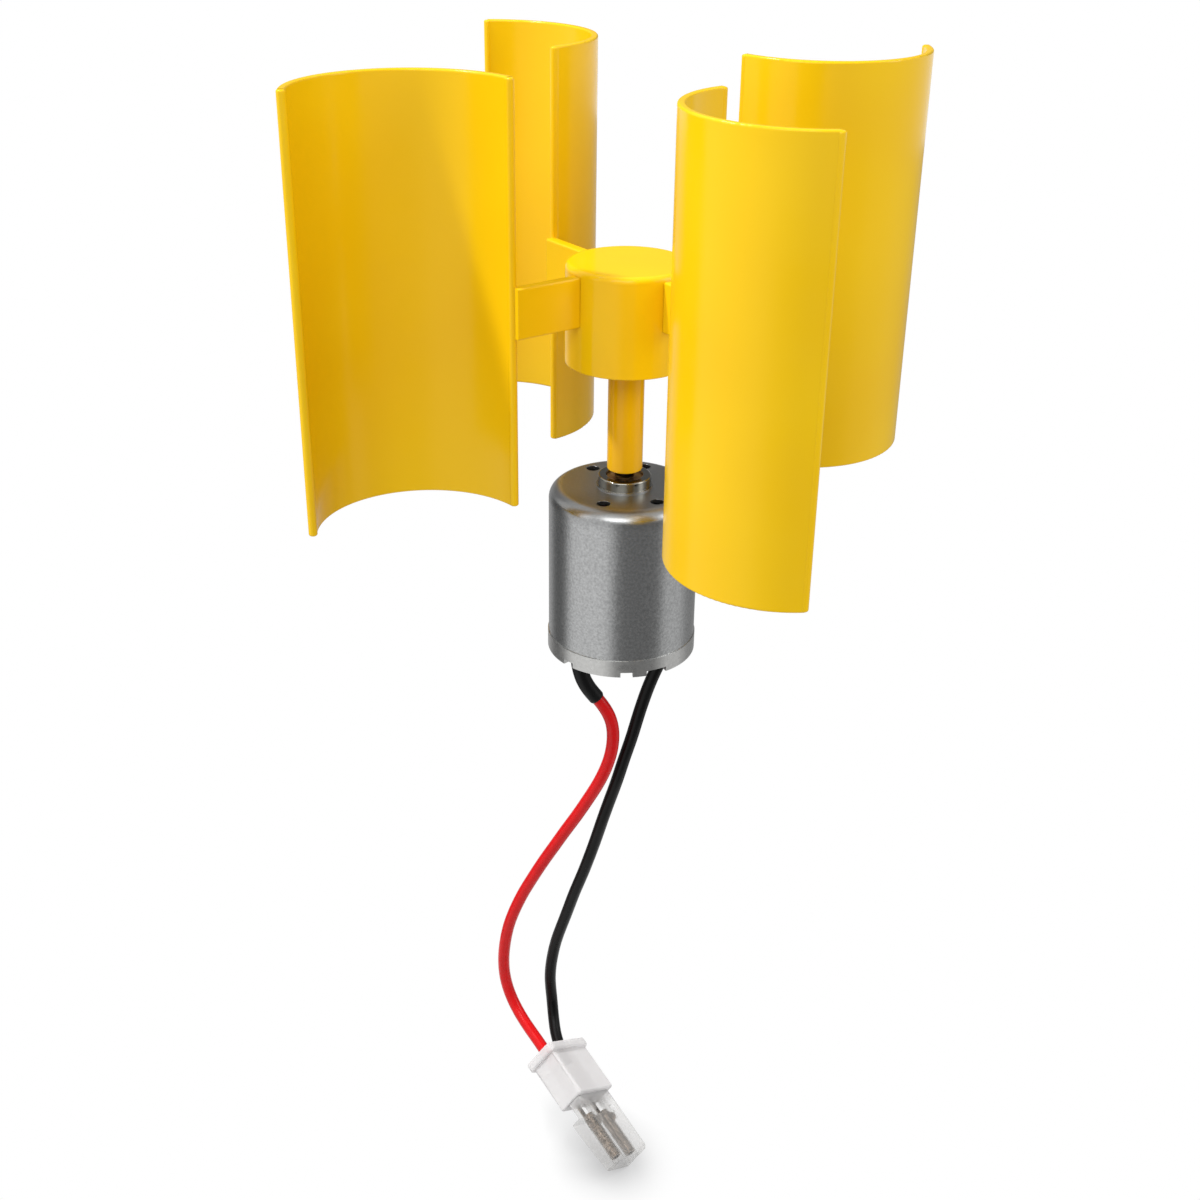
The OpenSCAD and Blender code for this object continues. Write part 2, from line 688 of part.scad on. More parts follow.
// The plug's housing, with a cavity, a slot for the lance and a window for each
// pole, and the notch under the body that the socket's catch drops into
module plug_housing() {
    flange_w = plug_w + 2 * flange_lip;
    flange_d = plug_t + 2 * flange_lip;
    slot_w = lance_w + 2 * seat_gap;
    color("whitesmoke", 0.6) at_plug() difference() {
        union() {
            linear_extrude(flange_t) soft_rectangle(flange_w, flange_d, plug_round + flange_lip);
            linear_extrude(plug_body) soft_rectangle(plug_w, plug_t, plug_round);
            nose();
        }
        translate([-plug_w, low_y - over, plug_body]) cube([2 * plug_w, catch_d + over, catch_l]);
        for (side = [-1, 1]) at_pole(side) {
            translate([0, 0, -over]) cylinder(d = cavity_d, h = plug_l + 2 * over);
            translate([-slot_w / 2, 0, -over])
                cube([slot_w, contact_r + lance_r + seat_gap, lance_z + lance_r + seat_gap + over]);
            translate([0, 0, lance_z - lance_r]) rotate([-90, 0, 0]) cylinder(d = window_d, h = plug_t);
        }
    }
}

// A contact: the barrel crimped on the wire, a strip, and the socket barrel with
// its ribbed neck and the lance that locks it in the housing
module contact(side) {
    color("lightgray") at_plug() at_pole(side) {
        translate([0, 0, wire_depth]) difference() {
            cylinder(r = contact_r, h = crimp_l);
            translate([0, contact_r, -over]) cylinder(r = contact_r / 2, h = crimp_l + 2 * over);
        }
        translate([-contact_r / 2, -contact_r + contact_t / 2, strip_z - contact_t])
            cube([contact_r, contact_t, strip_l + 2 * contact_t]);
        translate([0, 0, socket_z]) difference() {
            ring(contact_r, contact_r - contact_t, socket_l);
            translate([-contact_t / 2, -contact_r - over, -over])
                cube([contact_t, contact_r + over, socket_l + 2 * over]);
        }
        for (rib = [1 : neck_ribs]) translate([0, 0, socket_z + 2 * contact_t * rib])
            ring(contact_r + rib_proud, contact_r - contact_t / 2, contact_t);
        translate([-lance_w / 2, contact_r - contact_t / 2, lance_z]) rotate([0, 90, 0])
            rotate_extrude(angle = 180) translate([lance_r - contact_t, 0]) square([contact_t, lance_w]);
    }
}

motor_can();
end_cover();
end_bell();
bush(front_bush_z, front_bush_h);  // front_bush
bush(rear_bush_z, rear_bush_h);  // rear_bush
magnet(0);  // magnet_1
magnet(1);  // magnet_2
magnet_clip();
terminal(-1);  // terminal_1
terminal(1);  // terminal_2
brush(-1);  // brush_1
brush(1);  // brush_2
shaft();
shaft_collar();
thrust_washers();
armature_core();
coil(0);  // coil_1
coil(1);  // coil_2
coil(2);  // coil_3
commutator_barrel();
commutator_bars();
rotor_stem();
rotor_hub();
blade(0);  // blade_1
blade(1);  // blade_2
blade(2);  // blade_3
blade(3);  // blade_4
red_sleeve();
red_wire();
black_wire();
plug_housing();
contact(-1);  // contact_1
contact(1);  // contact_2
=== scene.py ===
# %% [markdown]
# # Wind turbine generator kit: its looks
#
# The shapes come from the CAD model: four half-pipe blades on arms, a hub and a stem, a small
# direct-current motor, two wires and a plug. This script keeps those shapes, and adds what CAD
# doesn't do well: supple wires, moulded edges, and surfaces that look like plastic, steel and
# nylon. All lengths are in metres, in the frame of the CAD model: the origin is the middle of
# the motor's front face, and +Z goes up the shaft.

import math

import bmesh
import bpy
from mathutils import Euler, Matrix, Vector


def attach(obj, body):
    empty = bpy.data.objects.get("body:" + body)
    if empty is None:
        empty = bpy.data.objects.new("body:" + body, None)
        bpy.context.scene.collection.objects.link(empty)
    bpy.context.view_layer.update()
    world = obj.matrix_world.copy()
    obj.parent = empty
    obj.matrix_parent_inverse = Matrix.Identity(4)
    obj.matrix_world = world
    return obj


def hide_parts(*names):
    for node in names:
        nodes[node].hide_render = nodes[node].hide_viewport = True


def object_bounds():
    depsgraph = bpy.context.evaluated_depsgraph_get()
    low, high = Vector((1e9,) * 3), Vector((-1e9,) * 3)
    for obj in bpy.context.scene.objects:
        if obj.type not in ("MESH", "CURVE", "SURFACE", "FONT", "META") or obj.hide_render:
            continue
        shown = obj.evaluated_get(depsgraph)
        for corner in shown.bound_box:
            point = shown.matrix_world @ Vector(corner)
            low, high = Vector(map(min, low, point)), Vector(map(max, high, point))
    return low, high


MM = 0.001

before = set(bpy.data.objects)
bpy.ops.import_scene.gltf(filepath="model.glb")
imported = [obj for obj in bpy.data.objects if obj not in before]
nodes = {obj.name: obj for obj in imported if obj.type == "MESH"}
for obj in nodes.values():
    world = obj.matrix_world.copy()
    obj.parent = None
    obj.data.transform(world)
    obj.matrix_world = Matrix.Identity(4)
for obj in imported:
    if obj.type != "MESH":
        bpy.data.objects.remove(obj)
cad_low, cad_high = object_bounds()
print("CAD nodes:", len(nodes), "from", tuple(cad_low), "to", tuple(cad_high))

# %% [markdown]
# ## Camera
#
# A camera's place could be found by trying until the picture fits. Here it was worked out, by
# matching edges of the motor and the blades in the photograph, because then sizes can be
# measured through it as well: a 48.6 mm lens, a little to the left of the middle, looking down
# by 27 degrees, tilted by less than a degree. Its turn is built from three directions at right
# angles, which is plainer than three angles.


# %% Camera
def put(name, data):
    """A new object with this data, in the scene."""
    piece = bpy.data.objects.new(name, data)
    bpy.context.collection.objects.link(piece)
    return piece


LENS_MM = 48.56
SENSOR_MM = 36
CAMERA_PLACE = Vector((-33.06, -239.25, 101.66)) * MM
PITCH = math.radians(26.92)
ROLL = math.radians(-0.83)
HEADING = Vector((0.1219, 0.9925, 0)).normalized()
CLIP_FROM, CLIP_TO = 10 * MM, 10

forward = HEADING * math.cos(PITCH) - Vector((0, 0, math.sin(PITCH)))
level = Vector((HEADING.y, -HEADING.x, 0))
upward = level.cross(forward)
across = level * math.cos(ROLL) - upward * math.sin(ROLL)
above = level * math.sin(ROLL) + upward * math.cos(ROLL)

camera = put("camera", bpy.data.cameras.new("camera"))
camera.data.lens = LENS_MM
camera.data.sensor_width = SENSOR_MM
camera.data.clip_start, camera.data.clip_end = CLIP_FROM, CLIP_TO
turn = Matrix((across, above, -forward)).transposed().to_4x4()
camera.matrix_world = Matrix.Translation(CAMERA_PLACE) @ turn
bpy.context.scene.camera = camera
print("camera looks along", tuple(round(x, 3) for x in forward))

# %% [markdown]
# ## Wires
#
# Stranded copper in soft PVC, one red and one black, from the motor's terminals to the plug.
# They could be meshes, but a curve with a round profile is the usual way for a wire: it stays
# a supple line with a thickness. Each is one smooth spline of third degree over the same route
# points as the CAD model's tube, so its middle line is the same eased curve. Both are seen
# from end to end in the photograph, which gives their lengths.

# %% Routes of the two wires, in millimetres
RED_ROUTE = [
    (-7.5, -2, -29.5), (-7.3, -2, -34.5), (-4.2, -2.5, -38), (-1.6, -3, -42),
    (-1.2, -2.5, -47), (-1.9, -2, -51.5), (-3.5, -1.5, -56), (-5.3, -0.5, -60),
    (-7.1, 0.5, -64), (-9.2, 1.5, -68), (-11.1, 2.5, -72), (-13.1, 3.5, -76),
    (-15.1, 4.5, -80.5), (-16.8, 5.5, -84.5), (-18.5, 6, -89), (-19.6, 7, -93.5),
    (-20.3, 7.5, -98.5), (-20.5, 8, -103), (-20, 8, -108), (-18.3, 6.5, -112.5),
    (-16, 3, -115), (-13.5, -1, -116.5), (-11.5, -4.5, -118.5),
]
BLACK_ROUTE = [
    (7.5, -2, -29.5), (5.5, -2, -34), (4.2, -1.5, -38.5), (3, -1.5, -43), (2.1, -1, -47.5),
    (0.9, -0.5, -52), (-0.2, 0, -57), (-1.3, 1, -61.5), (-2.6, 1.5, -66.5),
    (-3.5, 2.5, -71), (-4.7, 3, -75.5), (-5.8, 4, -80), (-7.1, 5, -84.5), (-8.1, 6, -89),
    (-9.2, 7, -93.5), (-10.3, 8, -98), (-11.1, 8.5, -103), (-11.5, 8.5, -107.5),
    (-11, 8.5, -112.5), (-10.9, 6, -116.5), (-10.5, 2, -119), (-8.5, -2, -120.5),
]
print("routes of", len(RED_ROUTE), "and", len(BLACK_ROUTE), "points")

# %% Two wires along their routes
WIRE_D = 2.2 * MM
SPLINE_ORDER = 4
STEPS_PER_POINT = 10
ROUND_STEPS = 7


def wire(name, route):
    """A round wire whose middle line is a smooth spline over the route points.

    The points carry its radius in metres, so that the curve's own box has the right size too.
    """
    curve = bpy.data.curves.new(name, "CURVE")
    curve.dimensions = "3D"
    line = curve.splines.new("NURBS")
    line.points.add(len(route) - 1)
    for point, place in zip(line.points, route):
        point.co = (*(Vector(place) * MM), 1)
        point.radius = WIRE_D / 2
    line.order_u = SPLINE_ORDER
    line.use_endpoint_u = True
    line.resolution_u = STEPS_PER_POINT
    curve.bevel_depth = 1.0
    curve.bevel_resolution = ROUND_STEPS
    curve.use_fill_caps = True
    return put(name, curve)


red_wire = wire("wire_red", RED_ROUTE)
black_wire = wire("wire_black", BLACK_ROUTE)
for piece, node in ((red_wire, "red_wire"), (black_wire, "black_wire")):
    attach(piece, "motor")
    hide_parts(node)
    print(piece.name, "over", len(piece.data.splines[0].points), "points")

# %% [markdown]
# ## Materials
#
# Every finish starts from the real material and how its surface was made. Image textures could
# give the same looks, but patterns worked out from real millimetres stay sharp at any distance
# and need no files. Hex colours are what the eye sees, and one function turns them into linear
# light. All patterns read Object coordinates, so they stay on their pieces when the rotor
# turns.


# %% Colours
def linear(hex_colour):
    """An sRGB hex colour as linear red, green, blue and alpha."""
    parts = [int(hex_colour[i:i + 2], 16) / 255 for i in (1, 3, 5)]
    return (*((c / 12.92 if c <= 0.04045 else ((c + 0.055) / 1.055) ** 2.4) for c in parts), 1)


WHITE = linear("#FFFFFF")
print("middle grey in linear light:", round(linear("#808080")[0], 3))


# %% One function for every node
def add(tree, kind, values=None, **settings):
    """Adds a node. values gives its inputs by name or number: a plain value or a socket."""
    node = tree.nodes.new(kind)
    for key, value in settings.items():
        setattr(node, key, value)
    for key, value in (values or {}).items():
        if isinstance(value, bpy.types.NodeSocket):
            tree.links.new(value, node.inputs[key])
        else:
            node.inputs[key].default_value = value
    return node


def fresh_tree(owner):
    """The node tree of a material or a world, without the nodes it starts with."""
    owner.use_nodes = True
    owner.node_tree.nodes.clear()
    return owner.node_tree


def blank(name, **shade):
    """A new material with one Principled shader. Returns the material, its tree, the shader."""
    material = bpy.data.materials.new(name)
    tree = fresh_tree(material)
    shader = add(tree, "ShaderNodeBsdfPrincipled",
                 {key.replace("_", " "): value for key, value in shade.items()})
    add(tree, "ShaderNodeOutputMaterial", {"Surface": shader.outputs["BSDF"]})
    return material, tree, shader


print("materials can be made")

# %% Patterns that several finishes share
CLOUD_LOW, CLOUD_HIGH = 0.3, 0.7  # nearly all of a cloud's values are between these
MIX_FACTOR, MIX_A, MIX_B, MIX_OUT = 0, 6, 7, 2  # the sockets of a colour mix


def clouds(tree, size_mm, detail=2.0, rough=0.5):
    """A cloudy pattern on the piece, whose blobs are about size_mm across."""
    place = add(tree, "ShaderNodeTexCoord").outputs["Object"]
    return add(tree, "ShaderNodeTexNoise", {
        "Vector": place, "Scale": 1 / (size_mm * MM), "Detail": detail, "Roughness": rough,
    }).outputs["Fac"]


def two_tones(tree, value, first, second, low=CLOUD_LOW, high=CLOUD_HIGH):
    """A colour that goes from first to second while a value goes from low to high."""
    share = add(tree, "ShaderNodeMapRange", {"Value": value, "From Min": low, "From Max": high})
    return add(tree, "ShaderNodeMix", {
        MIX_FACTOR: share.outputs["Result"], MIX_A: first, MIX_B: second,
    }, data_type="RGBA").outputs[MIX_OUT]


def finish(tree, shader, colour, rough_clouds, rough_low, rough_high):
    """Gives the shader its colour, and a roughness that wanders between two numbers."""
    tree.links.new(colour, shader.inputs["Base Color"])
    rough = add(tree, "ShaderNodeMapRange", {
        "Value": rough_clouds, "From Min": CLOUD_LOW, "From Max": CLOUD_HIGH,
        "To Min": rough_low, "To Max": rough_high,
    })
    tree.links.new(rough.outputs["Result"], shader.inputs["Roughness"])


def relief(tree, shader, height, depth_mm, strength=1.0, edge_mm=0.12):
    """Gives the surface a height pattern of a real depth, and softens its sharp edges."""
    bump = add(tree, "ShaderNodeBump", {
        "Height": height, "Distance": depth_mm * MM, "Strength": strength,
    })
    if edge_mm:
        soft = add(tree, "ShaderNodeBevel", {"Radius": edge_mm * MM}, samples=4)
        tree.links.new(soft.outputs["Normal"], bump.inputs["Normal"])
    tree.links.new(bump.outputs["Normal"], shader.inputs["Normal"])


print("clouds, two tones, finish and relief can be used")

# %% [markdown]
# ### ABS, injection moulded in a polished mould
#
# Blades, hub and stem are yellow ABS. It gives the eye a deep, even yellow under a clear
# gloss. One flat colour could do, but the wide, shallow waves of a moulded wall bend the
# reflections a little, and a light haze takes the mirror out of them, so both are drawn. The
# hub and the thick stem are glossier than the blades, and the stem's colour is deeper.


# %% Yellow ABS
def moulded_abs(name, colour, deep, gloss):
    """ABS between two near colours. A lower gloss number gives sharper reflections."""
    material, tree, shader = blank(name, IOR=1.54, Roughness=gloss, Specular_IOR_Level=0.2)
    tint = two_tones(tree, clouds(tree, 22, detail=1.0), linear(colour), linear(deep))
    finish(tree, shader, tint, clouds(tree, 5, detail=3.0), gloss - 0.03, gloss + 0.05)
    waves = clouds(tree, 14, detail=1.0)
    relief(tree, shader, waves, depth_mm=0.12, strength=0.5, edge_mm=0.25)
    return material


abs_yellow = moulded_abs("ABS yellow, polished mould", "#F0C40E", "#ECBD0B", 0.2)
abs_hub = moulded_abs("ABS yellow, glossy hub", "#F0C40E", "#ECBD0B", 0.09)
abs_amber = moulded_abs("ABS yellow, thick stem", "#ECB60C", "#E2AA08", 0.09)
print("yellow ABS for blades, hub and stem")

# %% [markdown]
# ### Drawn steel, tumbled and passivated
#
# The motor's can is drawn from one disc of sheet steel. Tumbling leaves a satin grey skin with
# a fine mottle on the wall, the flat face above it is a little duller, and the turned boss is
# polished. Three materials could be put on three faces, but the can is one piece, so its
# height decides instead. The real grains are a few hundredths of a millimetre, too fine to
# show, so they are drawn at 0.42 mm.

# %% Steel of the can
CAN_GRAIN_MM = 0.42
WALL_TO, FACE_FROM = -3.0 * MM, -0.6 * MM
DULL_FROM, DULL_TO = -1.2 * MM, -0.1 * MM
BOSS_FROM, BOSS_TO = 0.15 * MM, 0.35 * MM


def drawn_can_steel():
    """The wall is mottled, the face plain and duller, and the boss above it polished."""
    material, tree, shader = blank("drawn steel, satin", Metallic=1.0, Roughness=0.3)
    place = add(tree, "ShaderNodeTexCoord").outputs["Object"]
    height = add(tree, "ShaderNodeSeparateXYZ", {"Vector": place}).outputs["Z"]
    mottle = add(tree, "ShaderNodeMapRange", {
        "Value": height, "From Min": WALL_TO, "From Max": FACE_FROM, "To Min": 1.0,
        "To Max": 0.25,
    })
    speckle = add(tree, "ShaderNodeMath", {
        0: clouds(tree, CAN_GRAIN_MM, rough=0.6), 1: mottle.outputs["Result"],
    }, operation="MULTIPLY").outputs[0]
    grey = two_tones(tree, speckle, linear("#8E8F8F"), linear("#B6B7B7"), low=0.1, high=0.65)
    colour = two_tones(tree, height, grey, linear("#8C8A82"), BOSS_FROM, BOSS_TO)
    tree.links.new(colour, shader.inputs["Base Color"])

    dull = add(tree, "ShaderNodeMapRange", {
        "Value": height, "From Min": DULL_FROM, "From Max": DULL_TO, "To Min": 0.27,
        "To Max": 0.36,
    })
    polish = add(tree, "ShaderNodeMapRange", {
        "Value": height, "From Min": BOSS_FROM, "From Max": BOSS_TO, "To Max": 0.2,
    })
    rough = add(tree, "ShaderNodeMath", {
        0: dull.outputs["Result"], 1: polish.outputs["Result"],
    }, operation="SUBTRACT")
    tree.links.new(rough.outputs[0], shader.inputs["Roughness"])
    relief(tree, shader, speckle, depth_mm=0.015)
    return material


can_steel = drawn_can_steel()
print("steel of the can, with grains of", CAN_GRAIN_MM, "mm")

# %% [markdown]
# ### Other metals of the motor and the plug
#
# They differ in colour and polish, and their surfaces are alike: a speckle of two tones, close
# ones on all but the contacts, whose speckle is painted light and shade.
# So one function makes them all. Each real grain is finer than a tenth of a millimetre, and is
# drawn at 0.3 to 0.6 mm to show. The cover and the contacts have many edges close together,
# where softened edges would only look grainy, so theirs stay sharp.


# %% Pressed, turned and sintered metals
def metal(name, light, dark, rough, grain=0.6, edge_mm=0.1):
    """A metal with a fine speckle of two tones, whose grains are this many millimetres."""
    material, tree, shader = blank(name, Metallic=1.0, Roughness=rough)
    speckle = clouds(tree, grain, rough=0.6)
    tint = two_tones(tree, speckle, linear(dark), linear(light))
    finish(tree, shader, tint, clouds(tree, 1.1, detail=3.0), rough - 0.05, rough + 0.07)
    relief(tree, shader, speckle, depth_mm=0.002, edge_mm=edge_mm)
    return material


# Pressed sheet: an even light grey, a little brighter than the can.
cover_steel = metal("pressed steel, satin", "#C6C6C4", "#BABAB8", 0.3, grain=0.42, edge_mm=0)
# Pressed from powder: brown, dull and a little grainy.
bronze = metal("sintered bronze", "#B08A50", "#8E6A38", 0.4, grain=0.3)
# Ground round: bright, with clear reflections.
ground_steel = metal("ground steel", "#C6C6C4", "#B4B4B2", 0.16)
# Turned and darkened by oil: nearly black, with sharp highlights.
dark_steel = metal("turned steel, darkened", "#6E6A62", "#55514A", 0.14)
# Rolled hard: a cool grey.
spring_steel = metal("spring steel", "#A8A9AA", "#929394", 0.3)
# Punched sheets in a stack: a dull, dark grey.
core_steel = metal("stacked silicon steel", "#8A8C8E", "#6E7072", 0.42)
# Dipped in tin: a warm light grey.
tinned = metal("tinned brass", "#AAA699", "#8E8A7E", 0.3)
# Rolled and tinned, seen through nylon: warm, with a mottle of painted light and shade that
# stands for its ribs.
tin_with_painted_rib_shade = metal("tinned bronze, painted rib shade", "#98887A", "#40372C", 0.26, edge_mm=0)
# Bare and clean: a warm orange.
copper = metal("bare copper", "#D08A62", "#B87450", 0.28)
# Drawn wire under clear enamel: a deep red brown.
enamelled = metal("enamelled copper", "#B4522A", "#8E3C1C", 0.3, grain=0.4)
print("ten more metals are ready")

# %% [markdown]
# ### Plastics of the motor and the wires
#
# Soft PVC comes out of its die with a slight waviness and an oily sheen, the sleeve is dull
# from being shrunk by heat, and the motor's own plastics are plain mouldings. They differ in
# the same few numbers, so one function makes them all, with a lower shine for soft plastics.
# The magnets' ferrite has no metallic shine either, so it is made in the same way.


# %% Moulded and extruded plastics
def plastic(name, colour, deep, rough, grain=0.5, depth_mm=0.004, ior=1.5, shine=0.35):
    """A plastic between two near colours, in clouds of this many millimetres."""
    material, tree, shader = blank(name, IOR=ior, Roughness=rough, Specular_IOR_Level=shine)
    cloud = clouds(tree, grain, detail=3.0)
    tint = two_tones(tree, cloud, linear(colour), linear(deep))
    finish(tree, shader, tint, clouds(tree, 2.5), rough - 0.04, rough + 0.05)
    relief(tree, shader, cloud, depth_mm)
    return material


# Pressed from powder and fired: a dull dark grey.
ferrite = plastic("sintered ferrite", "#3A3A3C", "#2C2C2E", 0.6, grain=0.3, depth_mm=0.01)
# Moulded with glass fibres in it: black and slightly matt.
black_nylon = plastic("black glass-filled nylon", "#1E1E20", "#151516", 0.45)
# Moulded without a dye: the colour of cream.
washer_nylon = plastic("natural nylon washer", "#E4E0D6", "#D8D3C8", 0.5)
# Moulded under heat and pressure: brown and slightly matt.
phenolic = plastic("brown phenolic", "#5A3420", "#482818", 0.45)
# Extruded over the strands: even, with one soft highlight along the wire.
red_pvc = plastic("red PVC insulation", "#CE0E12", "#C20A0E", 0.24,
                  grain=1.2, depth_mm=0.006, ior=1.53, shine=0.2)
black_pvc = plastic("black PVC insulation", "#0B0B0B", "#080808", 0.3,
                    grain=1.2, depth_mm=0.006, ior=1.53, shine=0.15)
# Shrunk by hot air: duller than the wires, and finely wrinkled.
shrink = plastic("black shrink sleeve", "#0E0E0E", "#0A0A0A", 0.42,
                 grain=0.8, depth_mm=0.01, shine=0.18)
print("six plastics and the ferrite are ready")

# %% [markdown]
# ### Natural nylon 66, moulded
#
# The plug's housing is nylon without a dye: milky where it is thick and clearer where it is
# thin. The body scatters the light, so the crimps are only a faint ghost in it; the nose is
# nearly clear, so the contacts show. Real refraction could be traced through it, but it is
# slow and noisy at this size. Here the shader's alpha lets part of the light straight through,
# less where a wall is seen edge-on, and subsurface scattering gives the rest its milkiness.
# How much goes through depends on the place along the plug. The nose's colour is a painted
# shade: darker grey where its wall is seen edge-on.

# %% Place along the plug
PLUG_PLACE = Vector((-11.2, -0.6, -118)) * MM
PLUG_TURN = [math.radians(a) for a in (114, 29, 43)]
CLEAR_FROM, CLEAR_TO = 11.0 * MM, 13.5 * MM

nylon, tree, shader = blank(
    "natural nylon, translucent", IOR=1.5, Specular_IOR_Level=0.4, Subsurface_Weight=0.45,
    Subsurface_Scale=2.5 * MM, Subsurface_Radius=(1.0, 1.0, 1.0))
place = add(tree, "ShaderNodeTexCoord").outputs["Object"]
in_plug = add(tree, "ShaderNodeMapping", {
    "Vector": place, "Location": PLUG_PLACE, "Rotation": PLUG_TURN,
}, vector_type="TEXTURE").outputs["Vector"]
along_plug = add(tree, "ShaderNodeSeparateXYZ", {"Vector": in_plug}).outputs["Z"]
print("nylon clears up between", CLEAR_FROM, "and", CLEAR_TO, "m along the plug")

# %% Haze, gloss and colour of the nylon
# Each pair is for the body and for the nose.
HAZE_FACING = (0.62, 0.05)
HAZE_EDGE_ON = (0.95, 0.66)
GLOSS = (0.3, 0.16)

facing, edge_on, gloss = [
    add(tree, "ShaderNodeMapRange", {
        "Value": along_plug, "From Min": CLEAR_FROM, "From Max": CLEAR_TO, "To Min": body,
        "To Max": nose,
    }).outputs["Result"]
    for body, nose in (HAZE_FACING, HAZE_EDGE_ON, GLOSS)
]
slant = add(tree, "ShaderNodeLayerWeight", {"Blend": 0.35}).outputs["Facing"]
haze = add(tree, "ShaderNodeMapRange", {"Value": slant, "To Min": facing, "To Max": edge_on})
tree.links.new(haze.outputs["Result"], shader.inputs["Alpha"])
tree.links.new(gloss, shader.inputs["Roughness"])

# Painted shade: the nose's colour goes from light grey to a darker grey as its wall turns
# edge-on.
nose_painted_edge_shade = two_tones(tree, slant, linear("#D2D0CD"), linear("#A3A19E"), 0.0, 1.0)
colour = two_tones(tree, along_plug, linear("#DEDCDC"), nose_painted_edge_shade, CLEAR_FROM, CLEAR_TO)
tree.links.new(colour, shader.inputs["Base Color"])
relief(tree, shader, clouds(tree, 3.0, detail=1.0), depth_mm=0.01, edge_mm=0.15)
print("nylon has", len(tree.nodes), "nodes")

# %% [markdown]
# ## The plug's housing with its edges rounded
#
# A mould has no sharp outer edges. They could be rounded by the shader alone, but the rims of
# flange, body and nose are wide enough to show in the outline. So a merged copy of the CAD
# solid gets a real bevel, by edge weights, and only there: the cavities inside would tear.
# Weighted normals keep its flat faces flat to the light.

# %% Which edges are rims
PLUG_RIMS = [z * MM for z in (0, 1.7, 11.3, 25)]
RIM_REACH = 0.02 * MM
RIM_ANGLE = math.radians(40)
POLES = [Vector((x, -0.5)) * MM for x in (-2.4, 2.4)]
POLE_REACH = 1.7 * MM
plug_frame = Matrix.Translation(PLUG_PLACE) @ Euler(PLUG_TURN).to_matrix().to_4x4()


def on_rim(place):
    """True on an outer rim of the flange, the body or the nose, away from the cavities."""
    own = plug_frame.inverted() @ place
    at_rim = min(abs(own.z - rim) for rim in PLUG_RIMS) < RIM_REACH
    return at_rim and all((own.xy - pole).length > POLE_REACH for pole in POLES)


def is_rim(edge):
    """True for a convex edge whose ends are both on a rim."""
    corner = edge.is_manifold and edge.is_convex and edge.calc_face_angle() > RIM_ANGLE
    return corner and all(on_rim(vert.co) for vert in edge.verts)


print(len(PLUG_RIMS), "rims along the plug")

# %% A merged copy of the housing, with its rims weighted
MERGE_REACH = 0.002 * MM
FLAT_ANGLE = math.radians(1)
SHARP_ANGLE = math.radians(35)

form = bmesh.new()
form.from_mesh(nodes["plug_housing"].data)
bmesh.ops.remove_doubles(form, verts=form.verts, dist=MERGE_REACH)
bmesh.ops.dissolve_limit(form, angle_limit=FLAT_ANGLE, verts=form.verts, edges=form.edges)
weight = form.edges.layers.float.new("bevel_weight_edge")
rims = [edge for edge in form.edges if is_rim(edge)]
for edge in rims:
    edge[weight] = 1.0
merged = bpy.data.meshes.new("merged housing")
form.to_mesh(merged)
form.free()
merged.shade_smooth()
merged.set_sharp_from_angle(angle=SHARP_ANGLE)
print(len(rims), "edges of the plug are to be rounded")

# %% Rounded housing
PLUG_EDGE = 0.35 * MM
PLUG_EDGE_STEPS = 3


def baked(name, source):
    """A plain piece from a source object with its modifiers. The source itself goes."""
    bpy.context.view_layer.update()
    graph = bpy.context.evaluated_depsgraph_get()
    mesh = bpy.data.meshes.new_from_object(source.evaluated_get(graph),
                                           preserve_all_data_layers=True, depsgraph=graph)
    mesh.name = name
    bpy.data.objects.remove(source)
    return put(name, mesh)


source = put("merged housing", merged)
soften = source.modifiers.new("rounded edges", "BEVEL")
soften.width, soften.segments, soften.limit_method = PLUG_EDGE, PLUG_EDGE_STEPS, "WEIGHT"
soften.use_clamp_overlap = False
flatten = source.modifiers.new("flat faces stay flat", "WEIGHTED_NORMAL")
flatten.keep_sharp = True
housing = baked("plug_moulding", source)
housing.data.materials.append(nylon)
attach(housing, "motor")
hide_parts("plug_housing")
print("the rounded housing has", len(housing.data.polygons), "faces")

# %% [markdown]
# ## Finishes of the CAD nodes
#
# All other pieces keep the CAD model's meshes, which are right as they are, and only get their
# materials. One table says which node is made of what.

# %% Finish of every CAD node that is shown
FINISHES = {
    "motor_can": can_steel, "end_cover": cover_steel, "end_bell": black_nylon,
    "front_bush": bronze, "rear_bush": bronze, "magnet_1": ferrite, "magnet_2": ferrite,
    "magnet_clip": spring_steel, "terminal_1": tinned, "terminal_2": tinned,
    "brush_1": copper, "brush_2": copper, "shaft": ground_steel, "shaft_collar": dark_steel,
    "thrust_washers": washer_nylon, "armature_core": core_steel, "coil_1": enamelled,
    "coil_2": enamelled, "coil_3": enamelled, "commutator_barrel": phenolic,
    "commutator_bars": copper, "rotor_stem": abs_amber, "rotor_hub": abs_hub,
    "blade_1": abs_yellow, "blade_2": abs_yellow, "blade_3": abs_yellow,
    "blade_4": abs_yellow, "contact_1": tin_with_painted_rib_shade, "contact_2": tin_with_painted_rib_shade,
}
for name, material in FINISHES.items():
    mesh = nodes[name].data
    mesh.materials.clear()
    mesh.materials.append(material)
red_wire.data.materials.append(red_pvc)
black_wire.data.materials.append(black_pvc)
print(len(FINISHES), "nodes have their finishes")

# %% [markdown]
# ## Shrink sleeve
#
# The joint of the red wire is covered by a piece of heat-shrink tube, which follows the wire's
# own first stretch. It could be a second curve with a thicker profile, but a shrunk tube
# closes in at its end. So a small Geometry Nodes tree sweeps a ring along the path and lets
# its radius shrink over the last bit.

# %% Geometry Nodes: a tube along a path
TUBE_INPUTS = {
    "Path": "Geometry", "Radius": "Float", "End radius": "Float", "Narrows at": "Float",
    "Rings": "Int", "Sides": "Int", "Finish": "Material",
}


